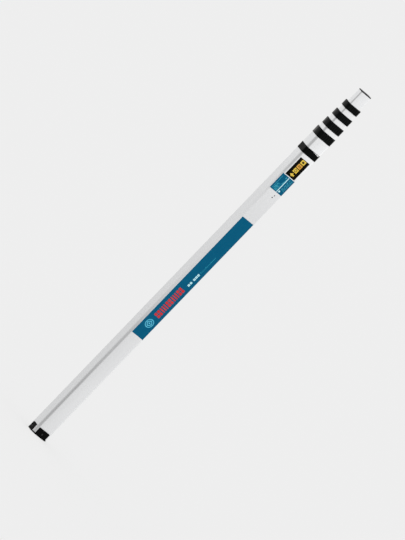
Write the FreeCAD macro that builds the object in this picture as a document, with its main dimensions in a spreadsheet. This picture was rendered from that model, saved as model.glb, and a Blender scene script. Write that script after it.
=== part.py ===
import FreeCAD, Part
import os

import Sketcher
from FreeCAD import Placement, Rotation, Vector

# A telescopic leveling rod of five aluminium sections, closed. The origin is the
# centre of the sole, +Z runs up the rod and the front face looks along -Y.
SECTIONS = 5
INNER_SECTIONS = range(2, SECTIONS + 1)
COLLARED_SECTIONS = range(1, SECTIONS)
GROOVES = 5

DRIVING = {
    "closedHeight": (1220, "sole to top of cap, all sections closed"),
    "outerWidth": (55, "section 1, side to side"),
    "outerDepth": (34, "section 1, front to back"),
    "outerRadius": (7.5, "outside corner of section 1"),
    "radiusStep": (1, "how much smaller each next section's corner is"),
    "wall": (1, "tube wall"),
    "sideGap": (1, "between one tube and the next, at each side"),
    "frontGap": (0.4, "between one tube and the next, at the front"),
    "backGap": (1.6, "between one tube and the next, at the back, where the buttons are"),
    "sectionPitch": (32.6, "rise from one collar, and one plug, to the next"),
    "capReach": (43.9, "from the last collar's top to the top of the cap"),
    "capThickness": (2.6, "plate of the top cap"),
    "capPlug": (14, "length of the cap's plug"),
    "capRivetDrop": (9, "cap rivets below the top"),
    "overlap": (89.3, "length of a drawn section that stays in the next tube"),
    "footPlugTop": (44, "height of the foot's plug, where section 2 stands"),
    "soleThickness": (2, "sole plate"),
    "floorThickness": (2, "foot cap under the tube"),
    "tabHeight": (21.6, "foot tabs, from the ground"),
    "tabThickness": (1.3, "foot tabs"),
    "tabMargin": (0.4, "flat left bare beside a tab"),
    "tabRivetHeight": (10.5, "tab rivets above the ground"),
    "soleScrewSpread": (28, "between the two sole screws"),
    "collarHeight": (22, "section 1's collar"),
    "collarHeightStep": (1.5, "how much shorter each next collar is"),
    "collarProud": (1.4, "section 1's collar beyond its tube"),
    "collarProudStep": (0.65, "how much prouder each next collar is"),
    "collarRounding": (3, "collar corner radius beyond its tube's, with its proud part"),
    "lipThickness": (2.5, "collar lip over the end of its tube"),
    "ribPitch": (7.4, "grip grooves of a collar"),
    "ribGroove": (1.6, "width of a grip groove"),
    "ribDepth": (0.5, "depth of a grip groove"),
    "ribMargin": (3, "collar left plain above and below a groove"),
    "bandHeight": (19.4, "lock band"),
    "bandThickness": (0.9, "lock band"),
    "bandWindow": (6.5, "radius of the window around the lock hole"),
    "foilThickness": (0.15, "labels"),
    "labelWrap": (0.7, "how far a wide label runs around a corner, front to back"),
    "frontLabelLeft": (20.8, "front label, from the middle of the rod to its left side"),
    "hintWidth": (36.5, "hint label"),
    "hintHeight": (58, "hint label"),
    "hintDrop": (12.3, "hint label below the lock band"),
    "infoHeight": (50, "information label"),
    "infoDrop": (2, "information label below the hint label"),
    "frontHeight": (411.5, "front label"),
    "frontDrop": (103, "front label below the information label"),
    "flangeThickness": (2, "plug flange under its tube"),
    "buttonRise": (22, "button above the bottom of its section"),
    "buttonRadius": (4, "button stem"),
    "buttonFlange": (5.4, "button flange, radius"),
    "buttonFlangeThickness": (2, "button flange"),
    "buttonChamfer": (0.8, "button end"),
    "buttonShy": (0.3, "pressed button to the wall outside it"),
    "buttonLift": (2.8, "how far a button can spring out"),
    "holeClearance": (0.3, "around a button, in its own tube, its plug and its lock hole"),
    "pocketDepth": (11.5, "button pocket in a plug, from the tube's inner wall"),
    "springRadius": (3.4, "button spring, to the middle of the wire"),
    "springWire": (0.35, "button spring wire, radius"),
    "springTurns": (4, "button spring"),
    "springShy": (0.1, "spring to its seat at each end"),
    "snugGap": (0.05, "between pieces that are fixed together"),
    "slideGap": (0.35, "collar lip around the tube that slides in it"),
    "rivetSpread": (20, "between two rivets in a back face"),
    "rivetRadius": (1.5, "rivet shank"),
    "rivetHead": (2.4, "rivet head, radius"),
    "rivetHeadHeight": (0.8, "rivet head"),
    "plugRivetDepth": (6, "plug and cap rivets, length in the plug"),
    "plugRivetRise": (10, "plug rivets above the bottom of their section"),
    "screwRadius": (1.5, "screw shank"),
    "screwHead": (2.9, "screw head, radius"),
    "screwHeadHeight": (1.2, "screw head"),
    "screwDepth": (9, "screw length under the head"),
}

doc = FreeCAD.newDocument("LevelingRod")
sheet = doc.addObject("Spreadsheet::Sheet", "Dim")
for row, (alias, (value, meaning)) in enumerate(DRIVING.items(), 1):
    sheet.set(f"A{row}", meaning)
    sheet.set(f"B{row}", str(value))
    sheet.setAlias(f"B{row}", alias)
doc.recompute()

nodes = []


# Sizes and places as expressions on the sheet.


def width(k):
    return f"(Dim.outerWidth - {2 * (k - 1)} * (Dim.wall + Dim.sideGap))"


def depth(k):
    return f"(Dim.outerDepth - {k - 1} * (2 * Dim.wall + Dim.frontGap + Dim.backGap))"


def radius(k):
    return f"(Dim.outerRadius - {k - 1} * Dim.radiusStep)"


def middle(k):
    """The tube's middle from front to back: inner tubes lie nearer the front."""
    return f"({k - 1} * (Dim.frontGap - Dim.backGap) / 2)"


def back(k):
    return f"({middle(k)} + {depth(k)} / 2)"


def collarTop(k):
    return f"(Dim.closedHeight - Dim.capReach - {SECTIONS - 1 - k} * Dim.sectionPitch)"


def collarTall(k):
    return f"(Dim.collarHeight - {k - 1} * Dim.collarHeightStep)"


def proud(k):
    return f"(Dim.collarProud + {k - 1} * Dim.collarProudStep)"


def bottom(k):
    if k == 1:
        return "(Dim.soleThickness + Dim.floorThickness)"
    return f"(Dim.footPlugTop + {k - 2} * Dim.sectionPitch)"


def tubeBottom(k):
    return bottom(k) if k == 1 else f"({bottom(k)} + Dim.flangeThickness)"


def tubeTop(k):
    if k == SECTIONS:
        return "(Dim.closedHeight - Dim.capThickness)"
    return f"({collarTop(k)} - Dim.lipThickness)"


def travel():
    return f"({collarTop(1)} - Dim.footPlugTop - Dim.overlap)"


def buttonHeight(k):
    return f"({bottom(k)} + Dim.buttonRise)"


def lockHeight(k):
    """The lock hole of section k, where section k + 1's button comes when it is drawn."""
    return f"({buttonHeight(k + 1)} + {travel()})"


def bandBottom():
    return f"({lockHeight(1)} - Dim.bandHeight / 2)"


def number(expression):
    value = sheet.evalExpression(expression)
    return float(getattr(value, "Value", value))


# Sketches.


def newBody(label):
    body = doc.addObject("PartDesign::Body", label)
    body.Label = label
    nodes.append(body)
    return body


def newSketch(body, name, role="XY_Plane", across="0", up="0", away="0"):
    """A sketch on one of the body's own planes, moved in that plane's own axes."""
    sketch = body.newObject("Sketcher::SketchObject", name)
    plane = next(f for f in body.Origin.OriginFeatures if f.Role == role)
    sketch.AttachmentSupport = [(plane, "")]
    sketch.MapMode = "FlatFace"
    for axis, value in zip("xyz", (across, up, away)):
        sketch.setExpression(f"AttachmentOffset.Base.{axis}", value)
    return sketch


def sizeConstraint(sketch, kind, *ends, size):
    name = f"size{sketch.ConstraintCount}"
    index = sketch.addConstraint(Sketcher.Constraint(kind, *ends, number(size)))
    sketch.renameConstraint(index, name)
    sketch.setExpression(f"Constraints.{name}", size)


def addRectangle(sketch, wide, tall):
    """A rectangle centred on the sketch's origin."""
    x, y = number(wide) / 2, number(tall) / 2
    corners = [Vector(-x, -y), Vector(x, -y), Vector(x, y), Vector(-x, y)]
    first = sketch.GeometryCount
    for n in range(4):
        sketch.addGeometry(Part.LineSegment(corners[n], corners[(n + 1) % 4]))
    for n in range(4):
        here, after = first + n, first + (n + 1) % 4
        sketch.addConstraint(Sketcher.Constraint("Coincident", here, 2, after, 1))
        level = "Vertical" if n % 2 else "Horizontal"
        sketch.addConstraint(Sketcher.Constraint(level, here))
    sketch.addConstraint(Sketcher.Constraint("Symmetric", first, 1, first + 2, 1, -1, 1))
    sizeConstraint(sketch, "DistanceX", first, 1, first, 2, size=wide)
    sizeConstraint(sketch, "DistanceY", first + 1, 1, first + 1, 2, size=tall)


def addRoundedRectangle(sketch, wide, tall, corner):
    """A rectangle with arcs for corners, centred on the sketch's origin."""
    x, y, r = number(wide) / 2, number(tall) / 2, number(corner)
    quarter = 1.5707963267948966
    arcCentres = [Vector(x - r, y - r), Vector(r - x, y - r), Vector(r - x, r - y), Vector(x - r, r - y)]
    sides = [
        (Vector(x - r, y), Vector(r - x, y)),
        (Vector(-x, y - r), Vector(-x, r - y)),
        (Vector(r - x, -y), Vector(x - r, -y)),
        (Vector(x, r - y), Vector(x, y - r)),
    ]
    first = sketch.GeometryCount
    for n in range(4):
        circle = Part.Circle(arcCentres[n], Vector(0, 0, 1), r)
        sketch.addGeometry(Part.ArcOfCircle(circle, n * quarter, (n + 1) * quarter))
        sketch.addGeometry(Part.LineSegment(*sides[n]))
    for n in range(4):
        arc, side, nextArc = first + 2 * n, first + 2 * n + 1, first + (2 * n + 2) % 8
        sketch.addConstraint(Sketcher.Constraint("Tangent", arc, 2, side, 1))
        sketch.addConstraint(Sketcher.Constraint("Tangent", side, 2, nextArc, 1))
        level = "Vertical" if n % 2 else "Horizontal"
        sketch.addConstraint(Sketcher.Constraint(level, side))
        if n:
            sketch.addConstraint(Sketcher.Constraint("Equal", first, arc))
    sketch.addConstraint(Sketcher.Constraint("Symmetric", first + 1, 1, first + 5, 1, -1, 1))
    sizeConstraint(sketch, "Radius", first, size=corner)
    sizeConstraint(sketch, "DistanceX", first + 3, 1, first + 7, 1, size=wide)
    sizeConstraint(sketch, "DistanceY", first + 5, 1, first + 1, 1, size=tall)


def addCircle(sketch, size, x="0", y="0"):
    """A circle at a place with x and y of 0 or more."""
    centre = Vector(number(x), number(y))
    index = sketch.addGeometry(Part.Circle(centre, Vector(0, 0, 1), number(size)))
    sizeConstraint(sketch, "Radius", index, size=size)
    for kind, place, axis in (("DistanceX", x, -2), ("DistanceY", y, -1)):
        if place == "0":
            sketch.addConstraint(Sketcher.Constraint("PointOnObject", index, 3, axis))
        else:
            sizeConstraint(sketch, kind, -1, 1, index, 3, size=place)


def addProfile(sketch, points):
    """A closed outline of straight lines, with x and y of 0 or more at each corner."""
    places = [Vector(number(x), number(y)) for x, y in points]
    first = sketch.GeometryCount
    for n, place in enumerate(places):
        sketch.addGeometry(Part.LineSegment(place, places[(n + 1) % len(places)]))
    for n, (x, y) in enumerate(points):
        here, after = first + n, first + (n + 1) % len(points)
        sketch.addConstraint(Sketcher.Constraint("Coincident", here, 2, after, 1))
        for kind, place, axis in (("DistanceX", x, -2), ("DistanceY", y, -1)):
            if place == "0":
                sketch.addConstraint(Sketcher.Constraint("PointOnObject", here, 1, axis))
            else:
                sizeConstraint(sketch, kind, -1, 1, here, 1, size=place)


# Features.


def pad(body, sketch, length):
    feature = body.newObject("PartDesign::Pad", f"{sketch.Name}Pad")
    feature.Profile = sketch
    feature.setExpression("Length", length)
    doc.recompute()
    return feature


def pocket(body, sketch, length=None, bothWays=False, upwards=False):
    """Cuts against the sketch's normal, or along it where upwards is set; through all with no length."""
    before = body.Shape.Volume
    feature = body.newObject("PartDesign::Pocket", f"{sketch.Name}Pocket")
    feature.Profile = sketch
    feature.Reversed = upwards
    if bothWays:
        feature.SideType = "Symmetric"
    if length is None:
        feature.Type = "ThroughAll"
    else:
        feature.setExpression("Length", length)
    doc.recompute()
    if not body.Shape.Volume < before:
        raise RuntimeError(f"{feature.Name} cuts nothing")
    return feature


def addOutline(sketch, k, grow="0"):
    """The outline of section k's tube, made larger by grow each way."""
    addRoundedRectangle(
        sketch,
        f"{width(k)} + 2 * {grow}",
        f"{depth(k)} + 2 * {grow}",
        f"{radius(k)} + {grow}",
    )


def pipe(body, name, k, low, high, grow="0", hollow=None):
    """A prism on section k's outline, made larger by grow each way, and with a wall if hollow is given."""
    sketch = newSketch(body, name, up=middle(k), away=low)
    addOutline(sketch, k, grow)
    if hollow is not None:
        addOutline(sketch, k, f"({grow} - {hollow})")
    return pad(body, sketch, f"{high} - {low}")


def backHole(body, name, size, height, across="0", start="0"):
    """A round hole from a place near the middle of the rod out through what lies behind it."""
    sketch = newSketch(body, name, "XZ_Plane", across=across, up=height, away=f"-{start}")
    addCircle(sketch, size)
    return pocket(body, sketch)


def crossHole(body, name, size, height, role):
    """A round hole right through the rod: XZ_Plane front to back, YZ_Plane side to side."""
    sketch = newSketch(body, name, role, up=height)
    addCircle(sketch, size)
    return pocket(body, sketch, bothWays=True)


# Fasteners.


def rod(name, size, length, start, facing, endSize=None):
    """A cylinder, or a cone where endSize is given, that starts at a point and runs the way it faces."""
    piece = doc.addObject("Part::Cylinder" if endSize is None else "Part::Cone", name)
    if endSize is None:
        piece.setExpression("Radius", size)
    else:
        piece.setExpression("Radius1", size)
        piece.setExpression("Radius2", endSize)
    piece.setExpression("Height", length)
    piece.Placement = Placement(Vector(), Rotation(Vector(0, 0, 1), facing))
    for axis, value in zip("xyz", start):
        piece.setExpression(f"Placement.Base.{axis}", value)
    return piece


def fuse(name, *pieces):
    joined = doc.addObject("Part::MultiFuse", name)
    joined.Shapes = list(pieces)
    return joined


def group(label, pieces):
    """Identical fasteners are one node of separate solids."""
    together = doc.addObject("Part::Compound", label)
    together.Label = label
    together.Links = pieces
    nodes.append(together)
    return together


def rivet(name, start, facing, grip):
    """A rivet on a surface: a low head outside and a shank through what it grips."""
    head = rod(f"{name}Head", "Dim.rivetHead", "Dim.rivetHeadHeight", start, facing, "Dim.rivetRadius")
    shank = rod(f"{name}Shank", "Dim.rivetRadius", grip, start, facing * -1)
    return fuse(name, head, shank)


def backRivets(label, surface, height, grip):
    """Two rivets side by side in a back face."""
    pair = []
    for side, across in RIVET_SIDES.items():
        pair.append(rivet(f"{label}{side}", (across, surface, height), Vector(0, 1, 0), grip))
    return group(label, pair)


RIVET_SIDES = {"Left": "-Dim.rivetSpread / 2", "Right": "Dim.rivetSpread / 2"}
RIVET_HOLE = "Dim.rivetRadius + Dim.snugGap"
LOCK_HOLE = "Dim.buttonRadius + Dim.holeClearance"
INSIDE = "(-Dim.wall - Dim.snugGap)"


def drillBackRivets(body, name, k, height):
    """The holes for two rivets behind section k, just deeper than the longest of them."""
    start = f"({back(k)} - Dim.plugRivetDepth - Dim.snugGap)"
    for side, across in RIVET_SIDES.items():
        backHole(body, f"{name}{side}", RIVET_HOLE, height, across, start)


# The foot.


def makeFootPlate():
    body = newBody("foot_plate")
    pipe(body, "soleOutline", 1, "0", "Dim.soleThickness")
    for side, sign in (("Left", "-1"), ("Right", "1")):
        across = f"{sign} * Dim.soleScrewSpread / 2"
        hole = newSketch(body, f"soleHole{side}", across=across, away="Dim.soleThickness")
        addCircle(hole, "Dim.screwRadius + Dim.snugGap")
        pocket(body, hole)
        seat = newSketch(body, f"soleSeat{side}", across=across)
        addCircle(seat, "Dim.screwHead + Dim.snugGap")
        pocket(body, seat, "Dim.screwHeadHeight", upwards=True)


def makeFootPlateScrews():
    screws = []
    for side, sign in (("Left", "-1"), ("Right", "1")):
        start = (f"{sign} * Dim.soleScrewSpread / 2", "0", "0")
        head = rod(f"soleScrewHead{side}", "Dim.screwHead", "Dim.screwHeadHeight", start, Vector(0, 0, 1))
        shank = rod(f"soleScrewShank{side}", "Dim.screwRadius", "Dim.screwDepth", start, Vector(0, 0, 1))
        screws.append(fuse(f"soleScrew{side}", head, shank))
    group("foot_plate_screws", screws)


def makeFootCap():
    """A floor under the tube, a plug in it and a tab up each face."""
    body = newBody("foot_cap")
    pipe(body, "footFloor", 1, "Dim.soleThickness", bottom(1))
    flatAcross = f"{width(1)} - 2 * {radius(1)} - 2 * Dim.tabMargin"
    flatDeep = f"{depth(1)} - 2 * {radius(1)} - 2 * Dim.tabMargin"
    frontTabs = newSketch(body, "frontTabs")
    addRectangle(frontTabs, flatAcross, f"{depth(1)} + 2 * Dim.tabThickness")
    pad(body, frontTabs, "Dim.tabHeight")
    sideTabs = newSketch(body, "sideTabs")
    addRectangle(sideTabs, f"{width(1)} + 2 * Dim.tabThickness", flatDeep)
    pad(body, sideTabs, "Dim.tabHeight")
    pipe(body, "footPlug", 1, bottom(1), "Dim.footPlugTop", INSIDE)

    slot = newSketch(body, "tubeSlot", away="Dim.tabHeight")
    for extra in ("Dim.snugGap", INSIDE):
        addOutline(slot, 1, extra)
    pocket(body, slot, f"Dim.tabHeight - {bottom(1)}")
    room = newSketch(body, "soleRoom", away="Dim.soleThickness")
    addOutline(room, 1, "Dim.snugGap")
    pocket(body, room)

    for side, sign in (("Left", "-1"), ("Right", "1")):
        across = f"{sign} * Dim.soleScrewSpread / 2"
        hole = newSketch(body, f"screwHole{side}", across=across, away="Dim.screwDepth + Dim.snugGap")
        addCircle(hole, "Dim.screwRadius + Dim.snugGap")
        pocket(body, hole)
    for role in ("XZ_Plane", "YZ_Plane"):
        crossHole(body, f"tabHole{role[:2]}", RIVET_HOLE, "Dim.tabRivetHeight", role)


def makeFootTabRivets():
    """One in the middle of each tab, through the tube and into the foot's plug."""
    frontward = f"({depth(1)} / 2 + Dim.tabThickness)"
    sideward = f"({width(1)} / 2 + Dim.tabThickness)"
    grip = "Dim.tabThickness + Dim.plugRivetDepth"
    height = "Dim.tabRivetHeight"
    group(
        "foot_tab_rivets",
        [
            rivet("tabRivetFront", ("0", f"-{frontward}", height), Vector(0, -1, 0), grip),
            rivet("tabRivetBack", ("0", frontward, height), Vector(0, 1, 0), grip),
            rivet("tabRivetLeft", (f"-{sideward}", "0", height), Vector(-1, 0, 0), grip),
            rivet("tabRivetRight", (sideward, "0", height), Vector(1, 0, 0), grip),
        ],
    )


# The sections.


def rivetHeight(k):
    if k == SECTIONS:
        return "(Dim.closedHeight - Dim.capRivetDrop)"
    return f"({collarTop(k)} - {collarTall(k)} / 2)"


def makeTube(k):
    body = newBody(f"section_{k}_tube")
    pipe(body, f"tube{k}", k, tubeBottom(k), tubeTop(k), hollow="Dim.wall")
    drillBackRivets(body, f"tubeRivetHole{k}", k, rivetHeight(k))
    if k == 1:
        for role in ("XZ_Plane", "YZ_Plane"):
            crossHole(body, f"tubeTabHole{role[:2]}", RIVET_HOLE, "Dim.tabRivetHeight", role)
    else:
        backHole(body, f"buttonHole{k}", LOCK_HOLE, buttonHeight(k))
        height = f"{bottom(k)} + Dim.plugRivetRise"
        crossHole(body, f"plugRivetSeat{k}", "Dim.rivetHead + Dim.snugGap", height, "YZ_Plane")
    if k < SECTIONS:
        backHole(body, f"lockHole{k}", LOCK_HOLE, lockHeight(k))


def makeCollar(k):
    """A sleeve over the top of a tube, with a lip over its end and grip grooves down the front."""
    body = newBody(f"section_{k}_collar")
    low = f"({collarTop(k)} - {collarTall(k)})"
    outside = newSketch(body, f"collarOutline{k}", up=middle(k), away=low)
    addRoundedRectangle(
        outside,
        f"{width(k)} + 2 * {proud(k)}",
        f"{depth(k)} + 2 * {proud(k)}",
        f"{radius(k)} + Dim.collarRounding",
    )
    pad(body, outside, collarTall(k))
    skirt = newSketch(body, f"collarSkirt{k}", up=middle(k), away=f"{collarTop(k)} - Dim.lipThickness")
    addOutline(skirt, k, "Dim.snugGap")
    pocket(body, skirt)
    lip = newSketch(body, f"collarLip{k}", up=middle(k + 1), away=collarTop(k))
    addOutline(lip, k + 1, "Dim.slideGap")
    pocket(body, lip)
    drillBackRivets(body, f"collarRivetHole{k}", k, rivetHeight(k))

    grooveSpan = GROOVES - 1
    groove = newSketch(
        body,
        f"collarGroove{k}",
        "XZ_Plane",
        across=f"-{grooveSpan} / 2 * Dim.ribPitch",
        up=f"{low} + {collarTall(k)} / 2",
        away=f"{depth(k)} / 2 - {middle(k)} + {proud(k)} - Dim.ribDepth",
    )
    addRectangle(groove, "Dim.ribGroove", f"{collarTall(k)} - 2 * Dim.ribMargin")
    cut = pocket(body, groove, upwards=True)
    grooved = body.Shape.Volume
    row = body.newObject("PartDesign::LinearPattern", f"collarGrooves{k}")
    row.Originals = [cut]
    row.Direction = (groove, ["H_Axis"])
    row.Occurrences = GROOVES
    row.setExpression("Length", f"{grooveSpan} * Dim.ribPitch")
    body.Tip = row
    doc.recompute()
    if not body.Shape.Volume < grooved:
        raise RuntimeError(f"{row.Name} adds no groove")


def makeCollarRivets(k):
    surface = f"({back(k)} + {proud(k)})"
    backRivets(f"section_{k}_collar_rivets", surface, rivetHeight(k), f"{proud(k)} + Dim.wall")


def makePlug(k):
    """The bottom of an inner section: a flange under the tube and a block in it with the button's pocket."""
    body = newBody(f"section_{k}_plug")
    pipe(body, f"plugFlange{k}", k, bottom(k), tubeBottom(k))
    pipe(body, f"plugBlock{k}", k, tubeBottom(k), f"({bottom(k)} + Dim.sectionPitch)", INSIDE)
    room = newSketch(body, f"buttonRoom{k}", "XZ_Plane", up=buttonHeight(k), away=f"-{pocketFloor(k)}")
    addCircle(room, "Dim.buttonFlange + Dim.holeClearance")
    pocket(body, room)
    height = f"{bottom(k)} + Dim.plugRivetRise"
    crossHole(body, f"plugRivetHole{k}", RIVET_HOLE, height, "YZ_Plane")


def makePlugRivets(k):
    """Flush in the tube's sides, because the section slides in the next tube out."""
    pair = []
    height = f"{bottom(k)} + Dim.plugRivetRise"
    for side, sign in (("Left", -1), ("Right", 1)):
        start = (f"{sign} * {width(k)} / 2", "0", height)
        inward = Vector(-sign, 0, 0)
        head = rod(f"plugRivet{k}{side}Head", "Dim.rivetHead", "Dim.wall", start, inward)
        shank = rod(f"plugRivet{k}{side}Shank", "Dim.rivetRadius", "Dim.plugRivetDepth", start, inward)
        pair.append(fuse(f"plugRivet{k}{side}", head, shank))
    group(f"section_{k}_plug_rivets", pair)


# The spring buttons. Closed, each is pressed in by the tube around it.


def pocketFloor(k):
    return f"({back(k)} - Dim.wall - Dim.pocketDepth)"


def flangeFace(k):
    """The inner end of a button, which its spring pushes on."""
    return f"({back(k)} - Dim.wall - Dim.buttonLift - Dim.buttonFlangeThickness)"


def makeButton(k):
    body = newBody(f"button_{k}")
    length = f"({back(k)} + Dim.backGap - Dim.buttonShy - {flangeFace(k)})"
    profile = newSketch(body, f"buttonProfile{k}")
    addProfile(
        profile,
        [
            ("0", "0"),
            ("Dim.buttonFlange", "0"),
            ("Dim.buttonFlange", "Dim.buttonFlangeThickness"),
            ("Dim.buttonRadius", "Dim.buttonFlangeThickness"),
            ("Dim.buttonRadius", f"{length} - Dim.buttonChamfer"),
            ("Dim.buttonRadius - Dim.buttonChamfer", length),
            ("0", length),
        ],
    )
    turned = body.newObject("PartDesign::Revolution", f"buttonTurned{k}")
    turned.Profile = profile
    turned.ReferenceAxis = (profile, ["V_Axis"])
    turned.Angle = 360
    body.setExpression("Placement.Base.y", flangeFace(k))
    body.setExpression("Placement.Base.z", buttonHeight(k))
    doc.recompute()


def makeButtonSpring(k):
    body = newBody(f"button_{k}_spring")
    low = f"({pocketFloor(k)} + Dim.springShy + Dim.springWire)"
    high = f"({flangeFace(k)} - Dim.springShy - Dim.springWire)"
    wire = newSketch(body, f"springWire{k}")
    addCircle(wire, "Dim.springWire", x="Dim.springRadius")
    coil = body.newObject("PartDesign::AdditiveHelix", f"springCoil{k}")
    coil.Profile = wire
    coil.ReferenceAxis = (wire, ["V_Axis"])
    coil.Mode = "height-turns-angle"
    coil.setExpression("Height", f"{high} - {low}")
    coil.setExpression("Turns", "Dim.springTurns")
    body.setExpression("Placement.Base.y", low)
    body.setExpression("Placement.Base.z", buttonHeight(k))
    doc.recompute()


# What is fixed on section 1.


def makeLockBand():
    """A belt around the place where section 2's button locks, with a window to press it through."""
    body = newBody("lock_band")
    grow = "(Dim.bandThickness + Dim.snugGap)"
    top = f"({bandBottom()} + Dim.bandHeight)"
    pipe(body, "bandOutline", 1, bandBottom(), top, grow, "Dim.bandThickness")
    backHole(body, "bandWindow", "Dim.bandWindow", lockHeight(1))


def makeWideLabel(label, low, high):
    """A foil over the front face that just turns the two front corners."""
    body = newBody(label)
    pipe(body, f"{label}Foil", 1, low, high, "(Dim.foilThickness + Dim.snugGap)", "Dim.foilThickness")
    behind = newSketch(body, f"{label}Behind", up="Dim.labelWrap", away=high)
    addRectangle(behind, "Dim.outerWidth + 4 * Dim.foilThickness", "Dim.outerDepth")
    pocket(body, behind)
    return body


def makeLabels():
    hintLow = f"({bandBottom()} - Dim.hintDrop - Dim.hintHeight)"
    hint = doc.addObject("Part::Box", "hint_label")
    hint.Label = "hint_label"
    hint.setExpression("Length", "Dim.hintWidth")
    hint.setExpression("Width", "Dim.foilThickness")
    hint.setExpression("Height", "Dim.hintHeight")
    hint.setExpression("Placement.Base.x", "-Dim.hintWidth / 2")
    hint.setExpression("Placement.Base.y", "-Dim.outerDepth / 2 - Dim.snugGap - Dim.foilThickness")
    hint.setExpression("Placement.Base.z", hintLow)
    nodes.append(hint)
    infoHigh = f"({hintLow} - Dim.infoDrop)"
    infoLow = f"({infoHigh} - Dim.infoHeight)"
    makeWideLabel("info_label", infoLow, infoHigh)
    frontHigh = f"({infoLow} - Dim.frontDrop)"
    front = makeWideLabel("front_label", f"({frontHigh} - Dim.frontHeight)", frontHigh)
    across = "-Dim.frontLabelLeft - Dim.outerWidth / 2"
    beside = newSketch(front, "frontLabelSide", across=across, away=frontHigh)
    addRectangle(beside, "Dim.outerWidth", "2 * Dim.outerDepth")
    pocket(front, beside)


def makeTopCap():
    body = newBody("top_cap")
    plateLow = tubeTop(SECTIONS)
    pipe(body, "capPlate", SECTIONS, plateLow, "Dim.closedHeight")
    pipe(body, "capPlug", SECTIONS, f"({plateLow} - Dim.capPlug)", plateLow, INSIDE)
    drillBackRivets(body, "capRivetHole", SECTIONS, rivetHeight(SECTIONS))
    backRivets("top_cap_rivets", back(SECTIONS), rivetHeight(SECTIONS), "Dim.plugRivetDepth")


makeFootPlate()
makeFootPlateScrews()
makeFootCap()
makeFootTabRivets()
for k in range(1, SECTIONS + 1):
    makeTube(k)
for k in COLLARED_SECTIONS:
    makeCollar(k)
    makeCollarRivets(k)
for k in INNER_SECTIONS:
    makePlug(k)
    makePlugRivets(k)
    makeButton(k)
    makeButtonSpring(k)
makeLockBand()
makeLabels()
makeTopCap()
doc.recompute()

for item in doc.Objects:
    if "Invalid" in item.State or "Error" in item.State:
        raise RuntimeError(f"{item.Name} failed: {item.State}")
for node in nodes:
    if node.Shape.isNull() or not node.Shape.isValid():
        raise RuntimeError(f"{node.Label} has no valid shape")

os.makedirs("parts", exist_ok=True)
for node in nodes:
    node.Shape.exportStep(f"parts/{node.Label}.step")
print(f"{len(nodes)} nodes written")
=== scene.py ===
import math
import bpy
from mathutils import Matrix, Vector


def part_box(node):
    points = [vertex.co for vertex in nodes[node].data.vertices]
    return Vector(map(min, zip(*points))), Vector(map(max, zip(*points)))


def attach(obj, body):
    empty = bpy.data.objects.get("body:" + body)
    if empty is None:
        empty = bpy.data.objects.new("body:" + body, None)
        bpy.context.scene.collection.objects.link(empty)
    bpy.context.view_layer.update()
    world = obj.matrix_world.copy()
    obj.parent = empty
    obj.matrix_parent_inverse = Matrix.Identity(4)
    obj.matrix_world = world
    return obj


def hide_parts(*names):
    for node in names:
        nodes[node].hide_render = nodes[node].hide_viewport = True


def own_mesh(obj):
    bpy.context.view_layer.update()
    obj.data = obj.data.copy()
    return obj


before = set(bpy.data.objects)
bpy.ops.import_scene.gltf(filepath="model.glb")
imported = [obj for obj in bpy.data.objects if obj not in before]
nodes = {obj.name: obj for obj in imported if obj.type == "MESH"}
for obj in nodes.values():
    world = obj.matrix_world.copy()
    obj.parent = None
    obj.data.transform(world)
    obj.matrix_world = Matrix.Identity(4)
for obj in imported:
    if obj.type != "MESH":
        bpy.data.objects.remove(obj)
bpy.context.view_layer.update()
print("frame loaded:", len(nodes), "nodes")

sections = 5
xAxis, yAxis, zAxis = Vector((1, 0, 0)), Vector((0, 1, 0)), Vector((0, 0, 1))
tubeBoxes = {k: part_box(f"section_{k}_tube") for k in range(1, sections + 1)}
rod = {
    "wall": 0.001,
    "cornerRadius": 0.0075,  # section 1
    "cornerStep": 0.001,  # each next section's corner is this much smaller
    "cornerSteps": 14,  # faces in a corner
    "snug": 0.00005,  # between pieces that are fixed together
    "past": 0.01,  # how far a cutting tool reaches past what it cuts
    "lockRadius": 0.0043,
    "travel": 0.945,
    "holeDepth": 0.006,  # how far a hole through the back wall is cut
    "tubeEdge": 0.00015,
    "press": 0.0015,  # how far a button goes in
}


def deselectAll():
    bpy.ops.object.select_all(action="DESELECT")


def choose(piece, *others):
    deselectAll()
    for each in (piece, *others):
        each.select_set(True)
    bpy.context.view_layer.objects.active = piece


def settle(piece, name=None):  # puts the piece's place, turn and scale into its mesh
    choose(piece)
    bpy.ops.object.transform_apply(location=True, rotation=True, scale=True)
    if name:
        piece.name = name
    return piece


# Selects the parts of one kind that pass the test, and no others, and goes into edit mode.
def selectParts(piece, kind, test):
    choose(piece)
    bpy.ops.object.mode_set(mode="EDIT")
    bpy.ops.mesh.select_mode(type=kind)
    bpy.ops.mesh.select_all(action="DESELECT")
    bpy.ops.object.mode_set(mode="OBJECT")
    mesh = piece.data
    for part in mesh.edges if kind == "EDGE" else mesh.polygons:
        part.select = test(mesh, part)
    bpy.ops.object.mode_set(mode="EDIT")


def selectEdges(piece, test):  # by their two ends
    selectParts(piece, "EDGE", lambda mesh, edge: test(*[mesh.vertices[n].co for n in edge.vertices]))


def selectFaces(piece, test):  # by middle and normal
    selectParts(piece, "FACE", lambda mesh, face: test(face.center, face.normal))


def leaveEdit():
    bpy.ops.object.mode_set(mode="OBJECT")


def extrude(*shift):
    bpy.ops.mesh.extrude_region_move(TRANSFORM_OT_translate={"value": shift})


def block(name, low, high):  # a block between two corners, ready to be shaped
    low, high = Vector(low), Vector(high)
    deselectAll()
    bpy.ops.mesh.primitive_cube_add(size=1, location=(low + high) / 2, scale=high - low)
    return settle(bpy.context.active_object, name)


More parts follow.
